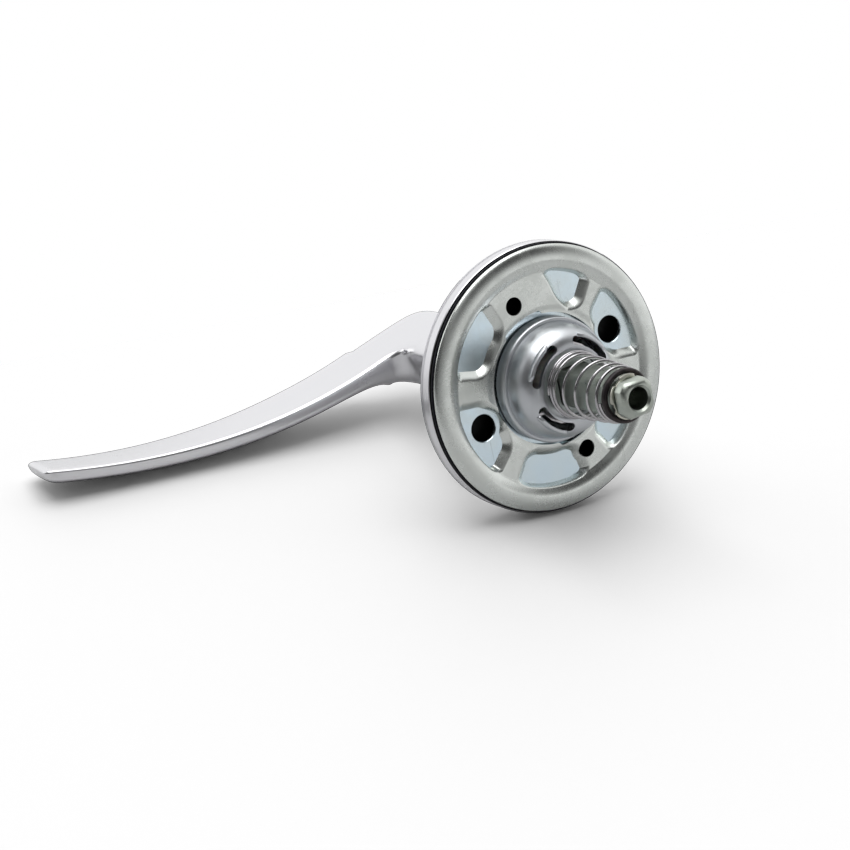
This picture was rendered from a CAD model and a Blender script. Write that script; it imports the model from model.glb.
"""Looks for the sprung door lever handle: fine meshes, procedural metals, a white table and soft light.

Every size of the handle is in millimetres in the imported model's own frame: the spindle lies along Y, the
door is on the +Y side of y = 0, and the lever reaches out to +X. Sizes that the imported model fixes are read
from its boxes. The lights and the camera are placed in metres.
"""

import math

import bmesh
import bpy
from mathutils import Matrix, Vector


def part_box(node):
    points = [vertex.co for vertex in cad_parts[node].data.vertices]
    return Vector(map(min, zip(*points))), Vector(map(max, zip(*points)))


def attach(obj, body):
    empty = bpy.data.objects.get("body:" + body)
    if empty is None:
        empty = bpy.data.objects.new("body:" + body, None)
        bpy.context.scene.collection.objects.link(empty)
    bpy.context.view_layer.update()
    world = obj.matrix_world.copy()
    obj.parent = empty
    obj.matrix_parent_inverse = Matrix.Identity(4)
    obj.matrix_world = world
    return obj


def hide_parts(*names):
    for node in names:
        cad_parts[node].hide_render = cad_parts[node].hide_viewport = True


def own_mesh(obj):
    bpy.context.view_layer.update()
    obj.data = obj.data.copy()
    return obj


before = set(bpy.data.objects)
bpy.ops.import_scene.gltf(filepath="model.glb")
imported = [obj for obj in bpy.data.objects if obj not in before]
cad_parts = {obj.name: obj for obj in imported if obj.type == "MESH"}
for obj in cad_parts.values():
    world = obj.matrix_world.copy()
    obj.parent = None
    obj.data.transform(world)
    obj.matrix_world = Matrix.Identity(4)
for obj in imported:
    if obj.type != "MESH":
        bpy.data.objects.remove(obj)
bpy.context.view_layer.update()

MM = 0.001


def extent(node, corner, axis):
    """One side of a CAD node's box, in millimetres. Corner 0 is the lowest and 1 the highest."""
    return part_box(node)[corner]["xyz".index(axis)] / MM


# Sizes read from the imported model
ROSE_R = extent("rose_cover", 1, "z")
COVER_REAR = extent("rose_cover", 1, "y")
COVER_FRONT = extent("rose_cover", 0, "y")
GASKET_LOW = extent("gasket_ring", 0, "y")
GASKET_TOP = extent("gasket_ring", 1, "y")
RIM_R = extent("back_plate", 1, "z")
SKIRT_LOW = extent("back_plate", 0, "y")
CUP_R = extent("spring_cup", 1, "z")
CUP_TOP = extent("spring_cup", 1, "y")
SPRING_LOW = extent("compression_spring", 0, "y")
SPRING_TOP = extent("compression_spring", 1, "y")
WASHER_LOW = extent("end_washer", 0, "y")
WASHER_TOP = extent("end_washer", 1, "y")
WASHER_R = extent("end_washer", 1, "x")
CLIP_LOW = extent("star_clip", 0, "y")
CLIP_TOP = extent("star_clip", 1, "y")
SPINDLE_FRONT = extent("spindle", 0, "y")
SPINDLE_END = extent("spindle", 1, "y")
INNER_TOP = extent("inner_plate", 1, "y")

# Directions of the pressing and of the lever, in degrees below level
PLATE_TURN = 16.9
LEVER_DIP = 14.8

CLEARANCE = 0.3


# ---------------------------------------------------------------- shapes


def polar(radius, degrees, y=0.0):
    angle = math.radians(degrees)
    return (radius * math.cos(angle), y, radius * math.sin(angle))


def mix(a, b, amount):
    return a + (b - a) * amount


def clamp(value, low=0.0, high=1.0):
    return min(max(value, low), high)


def smooth_step(value):
    value = clamp(value)
    return value * value * (3.0 - 2.0 * value)


def loft(rings, closed=False):
    """Skin equal rings of points, and cap both ends unless the rings run round in a circle."""
    bm = bmesh.new()
    loops = [[bm.verts.new(point) for point in ring] for ring in rings]
    pairs = list(zip(loops, loops[1:]))
    if closed:
        pairs.append((loops[-1], loops[0]))
    count = len(loops[0])
    for near, far in pairs:
        for i in range(count):
            j = (i + 1) % count
            bm.faces.new((near[i], near[j], far[j], far[i]))
    if not closed:
        bm.faces.new(loops[0])
        bm.faces.new(reversed(loops[-1]))
    return bm


def turned(profile, segments=160):
    """Revolve a closed profile of (radius, y) points about the Y axis."""
    rings = []
    for step in range(segments):
        degrees = 360.0 * step / segments
        rings.append([polar(r, degrees, y) for r, y in profile])
    return loft(rings, closed=True)


def shaft(steps, segments=64):
    """Solid of (radius, y) steps along the Y axis, capped flat at both ends."""
    rings = []
    for r, y in steps:
        rings.append([polar(r, 360.0 * (step + 0.5) / segments, y) for step in range(segments)])
    return loft(rings)


def prism(outline, y_low, y_high):
    """Straight solid over an outline of (x, z) points."""
    return loft([[(x, y, z) for x, z in outline] for y in (y_low, y_high)])


def arc(centre, radius, start, end, points):
    """Points of an arc in the (radius, y) plane, with angles in degrees from the radial direction."""
    result = []
    for step in range(points):
        angle = math.radians(mix(start, end, step / (points - 1)))
        result.append((centre[0] + radius * math.cos(angle), centre[1] + radius * math.sin(angle)))
    return result


def rounded(profile, radius, points=4):
    """Round every corner of a closed (radius, y) profile with a small arc-like curve."""
    result = []
    count = len(profile)
    for i, corner in enumerate(profile):
        here = Vector(corner)
        before = Vector(profile[i - 1]) - here
        after = Vector(profile[(i + 1) % count]) - here
        reach = min(radius, 0.45 * before.length, 0.45 * after.length)
        start = here + before.normalized() * reach
        end = here + after.normalized() * reach
        for step in range(points):
            part = step / (points - 1)
            curve = start * (1 - part) ** 2 + here * 2 * part * (1 - part) + end * part**2
            result.append((curve.x, curve.y))
    return result


def turn(bm, degrees, axis):
    """Turn a bmesh about an axis through the origin."""
    matrix = Matrix.Rotation(math.radians(degrees), 3, axis)
    bmesh.ops.rotate(bm, cent=(0.0, 0.0, 0.0), matrix=matrix, verts=bm.verts)


def new_object(name, bm):
    """Turn a bmesh in millimetres into a named object in metres."""
    bmesh.ops.scale(bm, vec=(MM, MM, MM), verts=bm.verts)
    mesh = bpy.data.meshes.new(name)
    bm.to_mesh(mesh)
    bm.free()
    piece = bpy.data.objects.new(name, mesh)
    bpy.context.scene.collection.objects.link(piece)
    return piece


def make(name, bm, sharp_degrees=35.0):
    """Object with merged points, outward faces and smooth shading up to an angle."""
    bmesh.ops.remove_doubles(bm, verts=bm.verts, dist=1e-5)
    bmesh.ops.recalc_face_normals(bm, faces=bm.faces)
    piece = new_object(name, bm)
    shade(piece, sharp_degrees)
    return piece


def make_sheet(name, bm):
    """Object from an open sheet, with its upper side towards the door."""
    bmesh.ops.recalc_face_normals(bm, faces=bm.faces)
    bm.faces.ensure_lookup_table()
    if bm.faces[0].normal.y < 0.0:
        bmesh.ops.reverse_faces(bm, faces=bm.faces)
    return new_object(name, bm)


def shade(piece, sharp_degrees):
    piece.data.shade_smooth()
    piece.data.set_sharp_from_angle(angle=math.radians(sharp_degrees))


def settle(piece, sharp_degrees=35.0):
    """Apply a piece's modifiers to its mesh."""
    graph = bpy.context.evaluated_depsgraph_get()
    mesh = bpy.data.meshes.new_from_object(piece.evaluated_get(graph))
    piece.modifiers.clear()
    piece.data = mesh
    shade(piece, sharp_degrees)


def cut(piece, tools, sharp_degrees=35.0):
    """Cut tools out of a piece and delete them."""
    for tool in tools:
        modifier = piece.modifiers.new("Cut", "BOOLEAN")
        modifier.operation = "DIFFERENCE"
        modifier.solver = "EXACT"
        modifier.object = tool
    settle(piece, sharp_degrees)
    for tool in tools:
        bpy.data.objects.remove(tool, do_unlink=True)


def bevel(piece, width, segments=3, degrees=30.0):
    """Round a piece's sharp edges."""
    modifier = piece.modifiers.new("Rounding", "BEVEL")
    modifier.width = width * MM
    modifier.segments = segments
    modifier.limit_method = "ANGLE"
    modifier.angle_limit = math.radians(degrees)
    modifier.harden_normals = False
    settle(piece, degrees)


def hand_over(piece, material, body, slot_name, *nodes):
    """Give a piece its material, and let it ride on a body in place of CAD nodes."""
    piece.data.materials.clear()
    piece.data.materials.append(material)
    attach(piece, body)
    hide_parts(*nodes)
    return piece


# ---------------------------------------------------------------- materials


class Nodes:
    """Short hand for building a material's node tree."""

    def __init__(self, name):
        self.material = bpy.data.materials.new(name)
        self.material.use_nodes = True
        self.tree = self.material.node_tree
        self.shader = self.tree.nodes["Principled BSDF"]
        self.coordinates = self.tree.nodes.new("ShaderNodeTexCoord").outputs["Object"]

    def link(self, source, target):
        self.tree.links.new(source, target)

    def add(self, kind, **settings):
        node = self.tree.nodes.new(kind)
        for key, value in settings.items():
            setattr(node, key, value)
        return node

    def stretched(self, scale, turn=(0.0, 0.0, 0.0)):
        """Object coordinates stretched and turned, for grain that runs one way."""
        node = self.add("ShaderNodeMapping")
        node.inputs["Scale"].default_value = scale
        node.inputs["Rotation"].default_value = turn
        self.link(self.coordinates, node.inputs["Vector"])
        return node.outputs["Vector"]

    def noise(self, scale, detail=3.0, roughness=0.5, vector=None, distortion=0.0):
        node = self.add("ShaderNodeTexNoise")
        node.inputs["Scale"].default_value = scale
        node.inputs["Detail"].default_value = detail
        node.inputs["Roughness"].default_value = roughness
        node.inputs["Distortion"].default_value = distortion
        self.link(vector or self.coordinates, node.inputs["Vector"])
        return node.outputs["Fac"]

    def span(self, value, low, high, to_low=0.0, to_high=1.0):
        """Map a value's range onto another, clamped."""
        node = self.add("ShaderNodeMapRange")
        node.inputs["From Min"].default_value = low
        node.inputs["From Max"].default_value = high
        node.inputs["To Min"].default_value = to_low
        node.inputs["To Max"].default_value = to_high
        self.link(value, node.inputs["Value"])
        return node.outputs["Result"]

    def math(self, operation, first, second):
        node = self.add("ShaderNodeMath", operation=operation)
        for value, target in ((first, node.inputs[0]), (second, node.inputs[1])):
            if isinstance(value, (int, float)):
                target.default_value = value
            else:
                self.link(value, target)
        return node.outputs[0]

    def blend(self, factor, first, second):
        """Mix two colours, or a colour and a colour output."""
        node = self.add("ShaderNodeMix", data_type="RGBA")
        self.link(factor, node.inputs["Factor"])
        for value, target in ((first, node.inputs["A"]), (second, node.inputs["B"])):
            if isinstance(value, tuple):
                target.default_value = (*value, 1.0)
            else:
                self.link(value, target)
        return node.outputs["Result"]

    def bumps(self, *layers):
        """Stack bump layers of (height, strength, distance in millimetres)."""
        normal = None
        for height, strength, distance in layers:
            node = self.add("ShaderNodeBump")
            node.inputs["Strength"].default_value = strength
            node.inputs["Distance"].default_value = distance * MM
            self.link(height, node.inputs["Height"])
            if normal is not None:
                self.link(normal, node.inputs["Normal"])
            normal = node.outputs["Normal"]
        self.link(normal, self.shader.inputs["Normal"])

    def scratches(self, turn, density=900.0, threshold=0.7):
        """Thin straight marks in one direction."""
        vector = self.stretched((density, density, density * 0.03), turn)
        lines = self.noise(1.0, 2.0, 0.6, vector)
        return self.span(lines, threshold, threshold + 0.05)


def metal(name, tints, patch_scale, roughness, grain_scale, bump, mark_turns=(), mark_strength=0.1):
    """A metal whose tint, gloss and surface vary: patches of a second tint, fine grain, straight marks."""
    m = Nodes(name)
    m.shader.inputs["Metallic"].default_value = 1.0
    patches = m.span(m.noise(patch_scale, 4.0, 0.55, distortion=0.4), 0.35, 0.68)
    tint = m.blend(patches, *tints)
    grain = m.noise(grain_scale, 5.0, 0.65)
    unevenness = m.math("ADD", m.math("MULTIPLY", grain, 0.6), m.math("MULTIPLY", patches, 0.4))
    gloss = m.span(unevenness, 0.25, 0.8, *roughness)
    layers = [(grain, bump, 0.05)]
    marks = None
    for mark_turn in mark_turns:
        lines = m.scratches(mark_turn)
        marks = lines if marks is None else m.math("MAXIMUM", marks, lines)
    if marks is not None:
        layers.append((marks, mark_strength, 0.04))
        darker = tuple(0.62 * value for value in tints[0])
        faint = m.math("MULTIPLY", marks, 0.35)
        tint = m.blend(faint, tint, darker)
    m.link(tint, m.shader.inputs["Base Color"])
    m.link(gloss, m.shader.inputs["Roughness"])
    m.bumps(*layers)
    return m.material


def satin_chrome():
    """Blasted and plated zinc: pale, even, with a very fine grain."""
    tints = ((0.79, 0.79, 0.81), (0.78, 0.78, 0.805))
    return metal("satin_chrome", tints, 40.0, (0.27, 0.30), 2600.0, 0.04)


def zinc_plate():
    """Bright zinc with a faint yellow-green passivation, tumbling marks and press lines."""
    tints = ((0.77, 0.80, 0.775), (0.72, 0.75, 0.72))
    marks = ((0.0, 0.3, 0.2), (0.4, 1.3, 0.9))
    return metal("zinc_plate", tints, 150.0, (0.22, 0.34), 1500.0, 0.14, marks, 0.22)


def blue_zinc():
    """Blue-passivated zinc, cloudy, from pale blue to grey."""
    tints = ((0.73, 0.86, 0.94), (0.77, 0.86, 0.88))
    marks = ((0.2, 0.9, 0.1), (0.1, 2.0, 0.6))
    return metal("blue_zinc", tints, 110.0, (0.2, 0.30), 1300.0, 0.10, marks, 0.18)


def cup_steel():
    """Drawn and plated steel with a soft silver haze."""
    tints = ((0.62, 0.64, 0.67), (0.655, 0.68, 0.70))
    return metal("cup_steel", tints, 260.0, (0.32, 0.44), 1700.0, 0.16, ((0.3, 0.2, 0.9),), 0.15)


def spring_wire():
    """Bright drawn wire."""
    tints = ((0.62, 0.61, 0.62), (0.46, 0.45, 0.47))
    return metal("spring_wire", tints, 500.0, (0.14, 0.26), 3000.0, 0.06)


def spindle_steel():
    """Cold-drawn bar, zinc plated to a dull olive."""
    tints = ((0.50, 0.53, 0.48), (0.40, 0.44, 0.40))
    return metal("spindle_steel", tints, 300.0, (0.26, 0.42), 1600.0, 0.15, ((0.0, 0.0, 0.0),), 0.2)


def clip_zinc():
    """Cream zinc plating."""
    tints = ((0.74, 0.73, 0.64), (0.62, 0.62, 0.55))
    return metal("clip_zinc", tints, 500.0, (0.3, 0.45), 1600.0, 0.2)


def raw_inside():
    """Unplated inside of the cover, dark and dull."""
    tints = ((0.05, 0.05, 0.05), (0.03, 0.03, 0.03))
    return metal("raw_inside", tints, 200.0, (0.5, 0.65), 900.0, 0.2)


def sleeve_steel():
    """Plated steel, greyer than the spindle."""
    tints = ((0.52, 0.56, 0.55), (0.44, 0.47, 0.46))
    return metal("sleeve_steel", tints, 400.0, (0.28, 0.42), 1500.0, 0.15)


def black_steel():
    """Blackened washer, worn to brown in places."""
    m = Nodes("black_steel")
    m.shader.inputs["Metallic"].default_value = 0.5
    worn = m.span(m.noise(420.0, 4.0, 0.6), 0.45, 0.75)
    m.link(m.blend(worn, (0.018, 0.014, 0.016), (0.07, 0.055, 0.055)), m.shader.inputs["Base Color"])
    m.link(m.span(m.noise(1500.0, 4.0, 0.6), 0.3, 0.7, 0.3, 0.5), m.shader.inputs["Roughness"])
    m.bumps((m.noise(1700.0, 5.0, 0.6), 0.15, 0.05))
    return m.material


def black_rubber():
    """Matt black sealing ring with faint mould grain."""
    m = Nodes("black_rubber")
    m.shader.inputs["Specular IOR Level"].default_value = 0.15
    dusty = m.span(m.noise(600.0, 4.0, 0.6), 0.4, 0.75)
    m.link(m.blend(dusty, (0.006, 0.006, 0.010), (0.020, 0.020, 0.026)), m.shader.inputs["Base Color"])
    m.link(m.span(m.noise(1800.0, 3.0, 0.6), 0.3, 0.7, 0.42, 0.6), m.shader.inputs["Roughness"])
    m.bumps((m.noise(2500.0, 4.0, 0.6), 0.15, 0.05))
    return m.material


def white_nylon():
    """Moulded natural nylon."""
    m = Nodes("white_nylon")
    m.shader.inputs["Subsurface Weight"].default_value = 0.15
    m.shader.inputs["Subsurface Scale"].default_value = 0.002
    cloudy = m.span(m.noise(200.0, 3.0, 0.5), 0.35, 0.7)
    m.link(m.blend(cloudy, (0.74, 0.73, 0.68), (0.66, 0.65, 0.60)), m.shader.inputs["Base Color"])
    m.link(m.span(m.noise(1200.0, 3.0, 0.6), 0.3, 0.7, 0.4, 0.55), m.shader.inputs["Roughness"])
    m.bumps((m.noise(1500.0, 4.0, 0.6), 0.1, 0.05))
    return m.material


# ---------------------------------------------------------------- rose


def rose_cover(material, inside):
    """Turned cover with a rounded front edge, plated outside and raw inside."""
    wall = 0.8
    edge_r = 3.0
    centre = (ROSE_R - edge_r, COVER_FRONT + edge_r)
    hole_r = 11.6
    profile = [(ROSE_R - wall, COVER_REAR), (ROSE_R - 0.15, COVER_REAR), (ROSE_R, COVER_REAR - 0.15)]
    profile += [(ROSE_R, COVER_REAR - 1.6), (ROSE_R, COVER_REAR - 3.4)]
    profile += arc(centre, edge_r, 0.0, -90.0, 14)
    profile += arc((hole_r + 0.5, COVER_FRONT + 0.5), 0.5, -90.0, -180.0, 6)
    profile += [(hole_r, COVER_FRONT + wall)]
    profile += arc(centre, edge_r - wall, -90.0, 0.0, 8)
    piece = make("rose_cover_fine", turned(profile, 240))
    hand_over(piece, material, "rose", "satin_chrome", "rose_cover")
    piece.data.materials.append(inside)
    inner_r = ROSE_R - 0.5 * wall
    inner_y = COVER_FRONT + 0.5 * wall
    for face in piece.data.polygons:
        place = face.center / MM
        face.material_index = 1 if math.hypot(place.x, place.z) < inner_r and place.y > inner_y else 0


def gasket_ring(material):
    """Soft-edged black ring between the cover and the plate's rim."""
    inner_r = 29.2
    outer_r = extent("gasket_ring", 1, "z")
    profile = [(inner_r, GASKET_LOW), (outer_r, GASKET_LOW), (outer_r, GASKET_TOP), (inner_r, GASKET_TOP)]
    piece = make("gasket_ring_fine", turned(rounded(profile, 0.15, 4), 240))
    hand_over(piece, material, "rose", "black_rubber", "gasket_ring")


# Pressing: levels are heights above the door's face
FIXING_R = 19.0
PLATE_OPENING_R = 14.6
SHEET = 0.5
SPOKE_LEVEL = -0.85
WINDOW_DEPTH = 2.05
LIP_SOFTNESS = 0.3
BEAD_INNER_R = 23.7
BEAD_RISE = 2.5
RIM_ROLL = 3.0
RIM_HEIGHT = 1.1
SKIRT_R = 28.9
SCREW_HOLES = (90.0, 270.0)
BOLT_HOLES = (0.0, 180.0)


class Window:
    """One window of the pressing, from the angles of its foot's ends at its inner and its outer edge."""

    inner_r = 17.6
    outer_r = 23.2
    inner_wall = 2.6
    outer_wall = 1.0
    side_wall = 2.7
    corner = 0.6  # radius of the foot's corners, in wall widths

    def __init__(self, inner_ends, outer_ends, bolt_hole=None):
        self.inner_ends = inner_ends
        self.outer_ends = outer_ends
        self.bolt_hole = bolt_hole

    def distance(self, r, degrees):
        """Distance outside the foot in wall widths: 0 on the foot and 1 on the lip."""
        part = clamp((r - self.inner_r) / (self.outer_r - self.inner_r), -0.3, 1.3)
        start = mix(self.inner_ends[0], self.outer_ends[0], part)
        end = mix(self.inner_ends[1], self.outer_ends[1], part)
        middle = 0.5 * (start + end)
        away = (degrees - middle + 180.0) % 360.0 - 180.0
        across = (abs(away) - 0.5 * (end - start)) * math.radians(1.0) * r
        outward = r - 0.5 * (self.inner_r + self.outer_r)
        along = abs(outward) - 0.5 * (self.outer_r - self.inner_r)
        wall = self.outer_wall if outward > 0.0 else self.inner_wall
        u = across / self.side_wall + self.corner
        v = along / wall + self.corner
        result = math.hypot(max(u, 0.0), max(v, 0.0)) + min(max(u, v), 0.0) - self.corner
        if self.bolt_hole is not None:
            x, _, z = polar(r, degrees)
            hole_x, _, hole_z = polar(FIXING_R, self.bolt_hole)
            clear_r, wall = 3.7, 1.3
            round_hole = (math.hypot(x - hole_x, z - hole_z) - clear_r) / wall
            result = smooth_least(result, round_hole, 0.5)
        return result


def smooth_least(a, b, width):
    """The smaller of two values, blended where they are close."""
    overlap = clamp(0.5 + 0.5 * (b - a) / width)
    return mix(b, a, overlap) - width * overlap * (1.0 - overlap)


WINDOWS = (
    Window((-18.0, 13.0), (-20.5, 15.5), 0.0),
    Window((42.0, 69.0), (39.5, 72.5)),
    Window((131.0, 140.0), (120.0, 140.0)),
    Window((162.0, 193.0), (159.5, 195.5), 180.0),
    Window((221.0, 252.0), (220.5, 253.0)),
    Window((281.0, 315.0), (279.5, 316.5)),
)

def plate_height(r, degrees):
    """Height of the pressing's door side."""
    bead = math.sin(0.5 * math.pi * clamp((r - BEAD_INNER_R) / BEAD_RISE))
    level = mix(SPOKE_LEVEL, 0.0, bead)
    nearest = min(window.distance(r, degrees) for window in WINDOWS)
    fall = clamp(1.0 - nearest, 0.0, 1.12)
    dip = (math.hypot(fall, LIP_SOFTNESS) - LIP_SOFTNESS) / (math.hypot(1.0, LIP_SOFTNESS) - LIP_SOFTNESS)
    opening = 0.12 * smooth_step((16.4 - r) / 1.4)
    return level - WINDOW_DEPTH * dip * (1.0 + 0.25 * bead) - opening


def pierce(bm, radius, degrees):
    """Open a round hole in a fine sheet: drop the faces inside it and draw its edge onto the circle."""
    centre_x, _, centre_z = polar(FIXING_R, degrees)

    def reach(point):
        return math.hypot(point.x - centre_x, point.z - centre_z)

    inside = [face for face in bm.faces if reach(face.calc_center_median()) < radius]
    edge = {vert for face in inside for vert in face.verts}
    bmesh.ops.delete(bm, geom=inside, context="FACES")
    for vert in edge:
        if vert.is_valid:
            scale = radius / reach(vert.co)
            vert.co.x = centre_x + (vert.co.x - centre_x) * scale
            vert.co.z = centre_z + (vert.co.z - centre_z) * scale


def back_plate(material):
    """Pressed back plate: rolled rim, sloping windows and two screw pads, as one formed sheet."""
    around = 720
    across = 60
    flat_end = RIM_R - RIM_ROLL
    bm = bmesh.new()
    loops = []
    for step in range(around):
        degrees = 360.0 * step / around
        notch = max(smooth_step((22.0 - abs(degrees - middle)) / 4.0) for middle in SCREW_HOLES)
        start = PLATE_OPENING_R + 0.8 * notch
        ring = []
        for k in range(across):
            r = mix(start, flat_end, k / (across - 1))
            ring.append(polar(r, degrees, plate_height(r, degrees)))
        for along, up in arc((0.0, 0.0), 1.0, 90.0, 0.0, 14)[1:]:
            ring.append(polar(flat_end + RIM_ROLL * along, degrees, RIM_HEIGHT * (up - 1.0)))
        ring.append(polar(mix(SKIRT_R, RIM_R, 0.6), degrees, -RIM_HEIGHT))
        ring.append(polar(SKIRT_R, degrees, -RIM_HEIGHT - 0.1))
        ring.append(polar(SKIRT_R, degrees, SKIRT_LOW))
        loops.append([bm.verts.new(point) for point in ring])
    for near, far in zip(loops, loops[1:] + loops[:1]):
        for i in range(len(near) - 1):
            bm.faces.new((near[i], near[i + 1], far[i + 1], far[i]))
    for radius, angles in ((2.0, SCREW_HOLES), (3.3, BOLT_HOLES)):
        for degrees in angles:
            pierce(bm, radius, degrees)
    sheet = make_sheet("back_plate_fine", bm)
    thickness = sheet.modifiers.new("Thickness", "SOLIDIFY")
    thickness.thickness = SHEET * MM
    thickness.offset = -1.0
    settle(sheet, 40.0)
    sheet.data.transform(Matrix.Rotation(math.radians(PLATE_TURN), 4, "Y"))
    hand_over(sheet, material, "rose", "zinc_plate", "back_plate")


def inner_plate(material):
    """Flat disc under the windows, with two bolt holes and two screw holes."""
    low = extent("inner_plate", 0, "y")
    radius = extent("inner_plate", 1, "z")
    opening_r = 12.4
    profile = [(opening_r, low), (radius, low), (radius, INNER_TOP), (opening_r, INNER_TOP)]
    piece = make("inner_plate_fine", turned(profile, 160))
    tools = []
    chamfer = 0.15
    for hole_r, angles in ((3.0, BOLT_HOLES), (3.2, SCREW_HOLES)):
        steps = [(hole_r, low - 1.0), (hole_r, INNER_TOP - chamfer)]
        steps.append((hole_r + 2.0 * chamfer, INNER_TOP + chamfer))
        for degrees in angles:
            tool = shaft(steps, 64)
            bmesh.ops.translate(tool, vec=polar(FIXING_R, degrees), verts=tool.verts)
            tools.append(make("hole_tool", tool))
    cut(piece, tools)
    piece.data.transform(Matrix.Rotation(math.radians(PLATE_TURN), 4, "Y"))
    hand_over(piece, material, "rose", "blue_zinc", "inner_plate")


# ---------------------------------------------------------------- spring cup

CUP_FOOT_Y = 2.2
CUP_SEAT_R = 8.4
CUP_WALL = 0.8
CUP_OPENING_R = 6.7
SLOT_COUNT = 4
SLOT_SPAN = 52.0
SLOT_FIRST = 60.0
SLOT_INNER_R = 8.4
SLOT_OUTER_R = 10.3


def cup_point(degrees, outward=0.0):
    """Point of the cup's shoulder, 0 degrees at its foot and 90 at its seat."""
    angle = math.radians(degrees)
    across = CUP_R - 1.2 - CUP_SEAT_R + outward
    rise = CUP_TOP - CUP_FOOT_Y + outward
    return (CUP_SEAT_R + across * math.cos(angle), CUP_FOOT_Y + rise * math.sin(angle))


def slot_outline(middle):
    """Slot with round ends, as (x, z) points."""
    half_width = 0.5 * (SLOT_OUTER_R - SLOT_INNER_R)
    mid_r = 0.5 * (SLOT_OUTER_R + SLOT_INNER_R)
    outline = []
    for step in range(15):
        outline.append(polar(SLOT_OUTER_R, middle + SLOT_SPAN * (step / 14 - 0.5)))
    end = Vector(polar(mid_r, middle + 0.5 * SLOT_SPAN))
    for step in range(1, 6):
        outline.append(end + Vector(polar(half_width, middle + 0.5 * SLOT_SPAN + 180.0 * step / 6)))
    for step in range(15):
        outline.append(polar(SLOT_INNER_R, middle - SLOT_SPAN * (step / 14 - 0.5)))
    start = Vector(polar(mid_r, middle - 0.5 * SLOT_SPAN))
    for step in range(1, 6):
        outline.append(start + Vector(polar(half_width, middle - 0.5 * SLOT_SPAN + 180.0 + 180.0 * step / 6)))
    return [(point[0], point[2]) for point in outline]


def slot_lip(middle):
    """Edge turned up along the outside of a slot, lower at its ends."""
    radius = SLOT_OUTER_R + 0.3
    middle_y = cup_point(58.0)[1] - 0.1
    half_width, half_height = 0.48, 0.85
    squareness = 0.6
    rings = []
    steps = 30
    sides = 12
    for step in range(steps + 1):
        part = step / steps
        degrees = middle + (SLOT_SPAN - 6.0) * (part - 0.5)
        ends = min(1.0, 6.0 * min(part, 1.0 - part) + 0.25)
        ring = []
        for side in range(sides):
            around = math.tau * side / sides
            c, s = math.cos(around), math.sin(around)
            r = radius + half_width * math.copysign(abs(c) ** squareness, c) - 0.10 * s
            y = middle_y + half_height * ends * math.copysign(abs(s) ** squareness, s)
            ring.append(polar(r, degrees, y))
        rings.append(ring)
    return loft(rings)


def spring_cup(material):
    """Drawn cup: a bead at its foot, a dome and four slots with turned-up lips."""
    profile = [(CUP_R - 0.9, -1.7), (CUP_R - 0.3, -1.7), (CUP_R, -1.3)]
    profile += arc((CUP_R - 0.55, 1.0), 0.55, 0.0, 110.0, 8)
    profile += [(CUP_R - 0.98, 1.42), (CUP_R - 1.12, 1.7)]
    profile += [cup_point(6.0 * step) for step in range(16)]
    profile += [(CUP_OPENING_R + 0.2, CUP_TOP), (CUP_OPENING_R, CUP_TOP - 0.2)]
    profile += [(CUP_OPENING_R, CUP_TOP - CUP_WALL)]
    profile += [cup_point(90.0 - 9.0 * step, -CUP_WALL) for step in range(11)]
    profile += [(CUP_R - 1.9, 1.0), (CUP_R - 1.0, 0.8)]
    piece = make("spring_cup_fine", turned(profile, 200), 50.0)
    tools = []
    lips = []
    for number in range(SLOT_COUNT):
        middle = SLOT_FIRST + 360.0 / SLOT_COUNT * number
        tools.append(make("slot_tool", prism(slot_outline(middle), 3.6, 10.0)))
        lips.append(make(f"slot_lip_{number}", slot_lip(middle), 60.0))
    cut(piece, tools, 50.0)
    as_the_plate = Matrix.Rotation(math.radians(PLATE_TURN), 4, "Y")
    piece.data.transform(as_the_plate)
    hand_over(piece, material, "rose", "cup_steel", "spring_cup")
    for lip in lips:
        lip.data.transform(as_the_plate)
        lip.data.materials.append(material)
        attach(lip, "rose")


# ---------------------------------------------------------------- spindle, washer, clip and spring


def square_outline(half, corner_r, points=6):
    """Square with its corners turned down to a radius."""
    outline = []
    corner_angle = math.degrees(math.acos(half / corner_r))
    for quarter in range(4):
        start = 90.0 * quarter + corner_angle
        end = 90.0 * (quarter + 1) - corner_angle
        for step in range(points):
            x, _, z = polar(corner_r, mix(start, end, step / (points - 1)))
            outline.append((x, z))
    return outline


SQUARE = 8.0
SQUARE_CORNER_R = 5.0
SHOULDER_Y = 25.6
HEAD_HALF = 3.95
HEAD_CORNER_R = 4.55
GROOVE_R = 3.7


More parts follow.
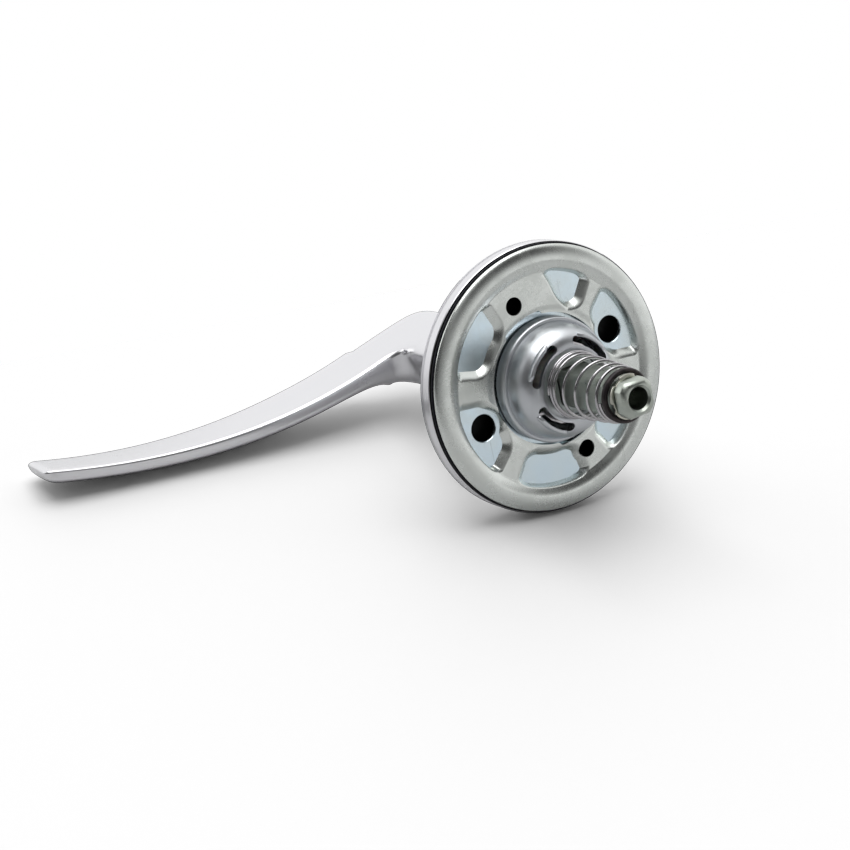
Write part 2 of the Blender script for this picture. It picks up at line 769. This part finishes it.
def spindle(material):
    """Square bar with a grooved neck, a squared head and a bored end."""
    groove_low, groove_top = CLIP_LOW - CLEARANCE, CLIP_TOP + CLEARANCE
    half = SQUARE / 2
    step = 0.01
    sections = [
        (SPINDLE_FRONT, half - 0.5, SQUARE_CORNER_R - 0.5),
        (SPINDLE_FRONT + 0.6, half, SQUARE_CORNER_R),
        (SHOULDER_Y - 0.4, half, SQUARE_CORNER_R),
        (SHOULDER_Y, half - 0.1, SQUARE_CORNER_R - 0.5),
        (SHOULDER_Y + step, half - 0.1, SQUARE_CORNER_R - 0.7),
        (groove_low, half - 0.1, SQUARE_CORNER_R - 0.7),
        (groove_low + step, GROOVE_R - 0.02, GROOVE_R),
        (groove_top, GROOVE_R - 0.02, GROOVE_R),
        (groove_top + step, HEAD_HALF - 0.25, HEAD_CORNER_R - 0.2),
        (groove_top + 0.25, HEAD_HALF, HEAD_CORNER_R),
        (SPINDLE_END - 1.1, HEAD_HALF, HEAD_CORNER_R),
        (SPINDLE_END - 0.65, HEAD_HALF - 0.22, HEAD_CORNER_R - 0.2),
        (SPINDLE_END - 0.2, HEAD_HALF - 0.6, HEAD_CORNER_R - 0.62),
        (SPINDLE_END, HEAD_HALF - 0.95, HEAD_CORNER_R - 1.05),
    ]
    rings = [[(x, y, z) for x, z in square_outline(flat, corner, 8)] for y, flat, corner in sections]
    piece = make("spindle_fine", loft(rings), 28.0)
    bore_r = 2.4
    bore = [(bore_r, SPINDLE_END - 12.0), (bore_r, SPINDLE_END - 0.45), (bore_r + 0.5, SPINDLE_END + 0.05)]
    bore.append((bore_r + 0.6, SPINDLE_END + 1.0))
    cut(piece, [make("bore_tool", shaft(bore, 64))], 28.0)
    hand_over(piece, material, "lever", "spindle_steel", "spindle")


def end_washer(material):
    """Blackened washer, dished a little towards its edge."""
    bore = extent("spindle", 1, "x") + 0.62
    low, top = WASHER_LOW, WASHER_TOP
    profile = [(bore, low), (WASHER_R - 0.1, low), (WASHER_R, low + 0.3), (WASHER_R, top - 0.35)]
    profile += [(WASHER_R - 0.35, top), (WASHER_R - 0.8, top - 0.12)]
    profile += [(bore + 0.3, top - 0.3), (bore, top - 0.3)]
    piece = make("end_washer_fine", turned(rounded(profile, 0.2, 4), 128), 40.0)
    hand_over(piece, material, "lever", "black_steel", "end_washer")


def star_clip(material):
    """Push-on clip whose lugs stand proud between notches."""
    outer_r = extent("star_clip", 1, "x") - 0.2
    lugs = 5
    outline = []
    points = 150
    for step in range(points):
        degrees = 360.0 * step / points
        phase = (degrees * lugs / 360.0) % 1.0
        dip = smooth_step((phase - 0.6) / 0.06) * smooth_step((0.98 - phase) / 0.06)
        x, _, z = polar(mix(outer_r, outer_r - 0.55, dip), degrees)
        outline.append((x, z))
    piece = make("star_clip_fine", prism(outline, CLIP_LOW, CLIP_TOP), 40.0)
    bore = shaft([(GROOVE_R + 0.25, CLIP_LOW - 1.0), (GROOVE_R + 0.25, CLIP_TOP + 1.0)], 64)
    cut(piece, [make("clip_tool", bore)], 40.0)
    bevel(piece, 0.1, 2)
    hand_over(piece, material, "lever", "clip_zinc", "star_clip")


# Compression spring
WIRE_R = 0.36
CLOSED_TURNS = 2.0
OPEN_TURNS = 4.0
END_TURNS = 1.0
CLOSED_PITCH = 0.78
SPRING_BASE_R = 7.08
SPRING_END_R = 5.6


def spring_centre(turn):
    """Height and radius of the wire's centre after so many turns."""
    total = CLOSED_TURNS + OPEN_TURNS + END_TURNS
    start = SPRING_LOW + WIRE_R
    closed_top = start + CLOSED_TURNS * CLOSED_PITCH
    open_top = SPRING_TOP - WIRE_R - END_TURNS * CLOSED_PITCH
    if turn <= CLOSED_TURNS:
        y = start + turn * CLOSED_PITCH
    elif turn <= CLOSED_TURNS + OPEN_TURNS:
        part = (turn - CLOSED_TURNS) / OPEN_TURNS
        y = mix(closed_top, open_top, mix(part, smooth_step(part), 0.35))
    else:
        y = open_top + (turn - CLOSED_TURNS - OPEN_TURNS) * CLOSED_PITCH
    radius = mix(SPRING_BASE_R, SPRING_END_R, max(turn - 1.0, 0.0) / (total - 1.0))
    return y, radius


def compression_spring(material):
    """Conical coil that shortens as the lever is pulled."""
    steps_per_turn = 60
    sides = 14
    turns = CLOSED_TURNS + OPEN_TURNS + END_TURNS
    rings = []
    for step in range(int(turns * steps_per_turn) + 1):
        turn = step / steps_per_turn
        y, radius = spring_centre(turn)
        ring = []
        for side in range(sides):
            around = math.tau * side / sides
            r = radius + WIRE_R * math.cos(around)
            ring.append(polar(r, 360.0 * turn, y + WIRE_R * math.sin(around)))
        rings.append(ring)
    piece = make("compression_spring_fine", loft(rings), 50.0)
    hand_over(piece, material, "driver", "spring_steel", "compression_spring")
    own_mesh(piece)


# ---------------------------------------------------------------- lever

BLADE_BACK = -51.0
BLADE_FRONT = -69.2
BLADE_TIP_FRONT = -64.6
BLADE_TIP_X = 95.6
BLADE_DEPTH = 4.7
BLADE_TIP_DEPTH = 4.0
TIP_ROUNDING = 2.4
CORNER_X = 12.8
CORNER_INNER_R = 5.0
NECK_END = BLADE_BACK + CORNER_INNER_R
NECK_OUTER_X = -8.7
TOP_AT_ELBOW = 6.5
TOP_CURVE = 0.0036
TOP_CURVE_START = 14.0
EDGE_R = 1.3
TIP_EDGE_R = 0.75
RING_POINTS = 128
SPIGOT_R = 8.0
COLLAR_R = 11.2
FLARE_R = 14.6
NECK_BOTTOM = -9.8
COLLAR_REAR = COVER_FRONT + 0.8
COLLAR_END = COVER_FRONT - 1.0
SPIGOT_REAR = -1.0


def filleted(across, up, width, height, radius):
    """Move a point near the top corner of a box's door side onto a round edge, seen from the box's middle."""
    from_side = width - across
    from_top = height - up
    if radius <= 0.0 or from_side >= radius or from_top >= radius:
        return across, up
    angle = math.atan2(radius - from_top, radius - from_side)
    round_x = width - radius + radius * math.cos(angle)
    return round_x, height - radius + radius * math.sin(angle)


def lever_section(inner, outer, top, bottom, top_power, bottom_power, middle=0.0, edge=0.0):
    """Ring between an inner and an outer plan point: superelliptic above and below, with a round top edge."""
    ring = []
    width = 0.5 * math.hypot(outer[0] - inner[0], outer[1] - inner[1])
    for step in range(RING_POINTS):
        angle = math.tau * step / RING_POINTS
        across, up = math.cos(angle), math.sin(angle)
        power = top_power if up >= 0.0 else bottom_power
        height = (top if up >= 0.0 else middle * 2.0 - bottom) - middle
        side = math.copysign(abs(across) ** (2.0 / power), across)
        rise = height * math.copysign(abs(up) ** (2.0 / power), up)
        if rise > 0.0:
            shifted, rise = filleted(side * width, rise, width, height, edge)
            side = shifted / width
        amount = 0.5 - 0.5 * side
        x = mix(inner[0], outer[0], amount)
        y = mix(inner[1], outer[1], amount)
        ring.append((x, y, middle + rise))
    return ring


def towards_tip(x):
    """How far along the blade's taper a place lies, from 0 to 1."""
    return smooth_step((x - 30.0) / 60.0)


def top_height(x):
    """Height of the blade's top face in the lever's own plane."""
    return TOP_AT_ELBOW + TOP_CURVE * max(x - TOP_CURVE_START, 0.0) ** 2


def blade_front(x):
    """Outer edge of the blade, which narrows towards its tip."""
    return mix(BLADE_FRONT, BLADE_TIP_FRONT, towards_tip(x))


def blade_thickness(x):
    """Depth of the blade below its top face."""
    root = 3.78 * math.exp(-(x - CORNER_X) / 5.0)
    return mix(BLADE_DEPTH, BLADE_TIP_DEPTH, towards_tip(x)) + root


def blade_section(x, scale):
    """One section of the blade, shrunk about its own middle by a scale near the tip."""
    top = top_height(x)
    bottom = top - blade_thickness(x)
    middle = top - 1.9
    half = 0.5 * (BLADE_BACK - blade_front(x))
    centre = 0.5 * (BLADE_BACK + blade_front(x))
    inner = (x, centre + half * mix(1.0, scale, 0.4))
    outer = (x, centre - half * mix(1.0, scale, 0.4))
    top = mix(middle, top, scale)
    bottom = mix(middle, bottom, scale)
    edge = mix(EDGE_R, TIP_EDGE_R, towards_tip(x))
    return lever_section(inner, outer, top, bottom, 9.0, 2.8, middle, edge * scale)


def neck_rings():
    """Round spigot and collar that grow into the flat-topped neck."""
    rings = []
    chamfer = 0.2
    for radius, y in (
        (SPIGOT_R - 0.4, SPIGOT_REAR),
        (SPIGOT_R, SPIGOT_REAR - 0.4),
        (SPIGOT_R, COLLAR_REAR),
        (COLLAR_R - chamfer, COLLAR_REAR),
        (COLLAR_R, COLLAR_REAR - chamfer),
        (COLLAR_R, COLLAR_END),
    ):
        rings.append(lever_section((radius, y), (-radius, y), radius, -radius, 2.0, 2.0))
    steps = 30
    for step in range(1, steps + 1):
        part = step / steps
        taper = smooth_step(part)
        y = mix(COLLAR_END, NECK_END, part)
        inner_x = mix(COLLAR_R, CORNER_X - CORNER_INNER_R, taper)
        outer_x = mix(-COLLAR_R, NECK_OUTER_X, taper)
        top = mix(COLLAR_R, TOP_AT_ELBOW, taper)
        bottom = mix(-FLARE_R, NECK_BOTTOM, part)
        rings.append(lever_section((inner_x, y), (outer_x, y), top, bottom, mix(2.0, 5.0, taper), 2.0))
    return rings


def elbow_rings():
    """Sections that fan round the inner corner, out to a squarer outer corner."""
    reach = CORNER_X - NECK_OUTER_X
    squareness = 7.0
    blade_bottom = top_height(CORNER_X) - blade_thickness(CORNER_X)
    rings = []
    steps = 40
    for step in range(1, steps + 1):
        part = step / steps
        angle = math.radians(180.0 + 90.0 * part)
        c, s = math.cos(angle), math.sin(angle)
        outer_r = reach / (abs(c) ** squareness + abs(s) ** squareness) ** (1.0 / squareness)
        inner = (CORNER_X + CORNER_INNER_R * c, NECK_END + CORNER_INNER_R * s)
        outer = (CORNER_X + outer_r * c, NECK_END + outer_r * s)
        bottom = mix(NECK_BOTTOM, blade_bottom, smooth_step(part) ** 1.3)
        middle = mix(0.0, TOP_AT_ELBOW - 2.0, smooth_step(part))
        powers = (mix(5.0, 9.0, part), mix(2.0, 2.8, part))
        edge = EDGE_R * smooth_step(2.0 * part)
        rings.append(lever_section(inner, outer, TOP_AT_ELBOW, bottom, *powers, middle, edge))
    return rings


def blade_rings():
    """Sections along the blade and round its tip."""
    rings = []
    steps = 70
    for step in range(1, steps + 1):
        rings.append(blade_section(mix(CORNER_X, BLADE_TIP_X - TIP_ROUNDING, step / steps), 1.0))
    steps = 12
    for step in range(1, steps + 1):
        angle = math.radians(90.0 * step / steps)
        x = BLADE_TIP_X - TIP_ROUNDING * (1.0 - math.sin(angle))
        rings.append(blade_section(x, mix(0.35, 1.0, math.cos(angle))))
    return rings


def lever(material):
    """One casting from the spigot to the blade's tip, with its socket and its screw hole."""
    bm = loft(neck_rings() + elbow_rings() + blade_rings())
    turn(bm, LEVER_DIP, "Y")
    piece = make("lever_fine", bm, 50.0)
    outline = square_outline(SQUARE / 2 + CLEARANCE, SQUARE_CORNER_R + CLEARANCE)
    socket = make("socket_tool", prism(outline, SPINDLE_FRONT - CLEARANCE, 0.5))
    screw_y = 0.5 * (extent("grub_screw", 0, "y") + extent("grub_screw", 1, "y"))
    hole_r = extent("grub_screw", 1, "x") + CLEARANCE
    hole = shaft([(hole_r, -18.0), (hole_r, 0.0)], 48)
    turn(hole, 90.0, "X")
    bmesh.ops.translate(hole, vec=(0.0, screw_y, 0.0), verts=hole.verts)
    cut(piece, [socket, make("grub_hole_tool", hole)], 50.0)
    hand_over(piece, material, "lever", "satin_chrome", "lever")


# ---------------------------------------------------------------- table, light and camera


TABLE_DEPTH = 31.3
TABLE_SLOPE = (0.133, -0.2785)
TABLE_SIDES = ((-1200.0, -125.0), (1200.0, 1500.0))


def table():
    """White table that only takes the shadows. A lever that swings down goes below it and is hidden.

    It slopes as the handle lies on it, and ends just behind the lever, where it would hide the room side.
    """
    bm = bmesh.new()
    (left, front), (right, rear) = TABLE_SIDES
    corners = []
    for x, y in ((left, front), (right, front), (right, rear), (left, rear)):
        corners.append(bm.verts.new((x, y, TABLE_SLOPE[0] * x + TABLE_SLOPE[1] * y - TABLE_DEPTH)))
    bm.faces.new(corners)
    plane = new_object("table", bm)
    plane.is_shadow_catcher = True
    m = Nodes("table_white")
    cloudy = m.span(m.noise(30.0, 3.0), 0.3, 0.7)
    m.link(m.blend(cloudy, (0.52, 0.52, 0.52), (0.50, 0.50, 0.505)), m.shader.inputs["Base Color"])
    m.shader.inputs["Roughness"].default_value = 0.6
    plane.data.materials.append(m.material)


def soft_box(name, place, aim, size, power):
    """Rectangular lamp at a place in metres, aimed at a point."""
    data = bpy.data.lights.new(name, "AREA")
    data.shape = "RECTANGLE"
    data.size, data.size_y = size
    data.energy = power
    light = bpy.data.objects.new(name, data)
    bpy.context.scene.collection.objects.link(light)
    light.location = place
    light.rotation_euler = (Vector(aim) - Vector(place)).to_track_quat("-Z", "Y").to_euler()
    return light


# Dark parts of the room, each a direction and stops of (cosine to it, brightness):
# towards the lever's tip, behind the eye, and up beyond the spindle's end
DARK_SIDES = (
    ((0.89, 0.14, 0.25), ((0.0, 1.0), (0.45, 0.9), (0.72, 0.14), (1.0, 0.05))),
    ((0.35, 0.92, 0.10), ((0.0, 1.0), (0.70, 0.85), (0.93, 0.30), (1.0, 0.2))),
    ((-0.43, 0.80, 0.38), ((0.0, 1.0), (0.84, 0.95), (0.95, 0.12), (1.0, 0.05))),
)


def dark_side(tree, direction, stops):
    """Brightness of the room round one of its dark parts."""
    place = tree.nodes.new("ShaderNodeTexCoord")
    facing = tree.nodes.new("ShaderNodeVectorMath")
    facing.operation = "DOT_PRODUCT"
    facing.inputs[1].default_value = Vector(direction).normalized()
    ramp = tree.nodes.new("ShaderNodeValToRGB")
    ramp.color_ramp.elements[0].position = stops[0][0]
    ramp.color_ramp.elements[1].position = stops[-1][0]
    for position, _ in stops[1:-1]:
        ramp.color_ramp.elements.new(position)
    for element, (_, grey) in zip(ramp.color_ramp.elements, stops):
        element.color = (grey, grey, grey, 1.0)
    tree.links.new(place.outputs["Generated"], facing.inputs[0])
    tree.links.new(facing.outputs["Value"], ramp.inputs["Fac"])
    return ramp.outputs["Color"]


def multiplied(tree, first, second):
    """Product of two colours."""
    product = tree.nodes.new("ShaderNodeMix")
    product.data_type = "RGBA"
    product.blend_type = "MULTIPLY"
    product.inputs["Factor"].default_value = 1.0
    tree.links.new(first, product.inputs["A"])
    tree.links.new(second, product.inputs["B"])
    return product.outputs["Result"]


def surroundings():
    """A white room for the eye, and for reflections a white room with dark sides."""
    world = bpy.data.worlds.new("studio")
    bpy.context.scene.world = world
    world.use_nodes = True
    tree = world.node_tree
    tree.nodes.clear()
    output = tree.nodes.new("ShaderNodeOutputWorld")
    chooser = tree.nodes.new("ShaderNodeMixShader")
    plain = tree.nodes.new("ShaderNodeBackground")
    plain.inputs["Color"].default_value = (1.0, 1.0, 1.0, 1.0)
    room = tree.nodes.new("ShaderNodeBackground")
    path = tree.nodes.new("ShaderNodeLightPath")
    brightness = dark_side(tree, *DARK_SIDES[0])
    for side in DARK_SIDES[1:]:
        brightness = multiplied(tree, brightness, dark_side(tree, *side))
    tree.links.new(brightness, room.inputs["Color"])
    tree.links.new(path.outputs["Is Camera Ray"], chooser.inputs["Fac"])
    tree.links.new(room.outputs["Background"], chooser.inputs[1])
    tree.links.new(plain.outputs["Background"], chooser.inputs[2])
    tree.links.new(chooser.outputs["Shader"], output.inputs["Surface"])


def camera():
    """Long lens, from behind the rose on the lever's side, a little above."""
    data = bpy.data.cameras.new("camera")
    data.lens = 76.2
    data.sensor_width = 36.0
    data.clip_start = 0.01
    eye = bpy.data.objects.new("camera", data)
    bpy.context.scene.collection.objects.link(eye)
    place = Vector((0.1960, 0.3222, 0.1080))
    back = Vector((0.4328, 0.8553, 0.2848)).normalized()
    up = Vector((-0.3225, -0.1482, 0.9349))
    right = up.cross(back).normalized()
    up = back.cross(right).normalized()
    facing = Matrix((right, up, back)).transposed()
    eye.matrix_world = Matrix.Translation(place) @ facing.to_4x4()
    bpy.context.scene.camera = eye


def main():
    satin = satin_chrome()
    zinc = zinc_plate()
    wire = spring_wire()
    cup = cup_steel()
    nylon = white_nylon()
    steel = spindle_steel()
    sleeve = sleeve_steel()
    rose_cover(satin, raw_inside())
    gasket_ring(black_rubber())
    back_plate(zinc)
    inner_plate(blue_zinc())
    spring_cup(cup)
    spindle(steel)
    end_washer(black_steel())
    star_clip(clip_zinc())
    compression_spring(wire)
    lever(satin)
    kept = {
        "neck_bush": nylon,
        "cup_bearing": nylon,
        "stop_ring": wire,
        "return_spring": wire,
        "sleeve": sleeve,
        "grub_screw": wire,
    }
    for node, material in kept.items():
        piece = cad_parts[node]
        piece.data.materials.clear()
        piece.data.materials.append(material)
    table()
    surroundings()
    soft_box("overhead", (0.0, 0.1, 0.7), (0.0, 0.0, 0.0), (0.7, 0.7), 3.2)
    soft_box("left", (0.55, -0.35, 0.45), (0.0, 0.0, 0.0), (0.5, 0.4), 0.8)
    camera()
    view = bpy.context.scene.view_settings
    view.view_transform = "Standard"
    view.look = "None"


main()
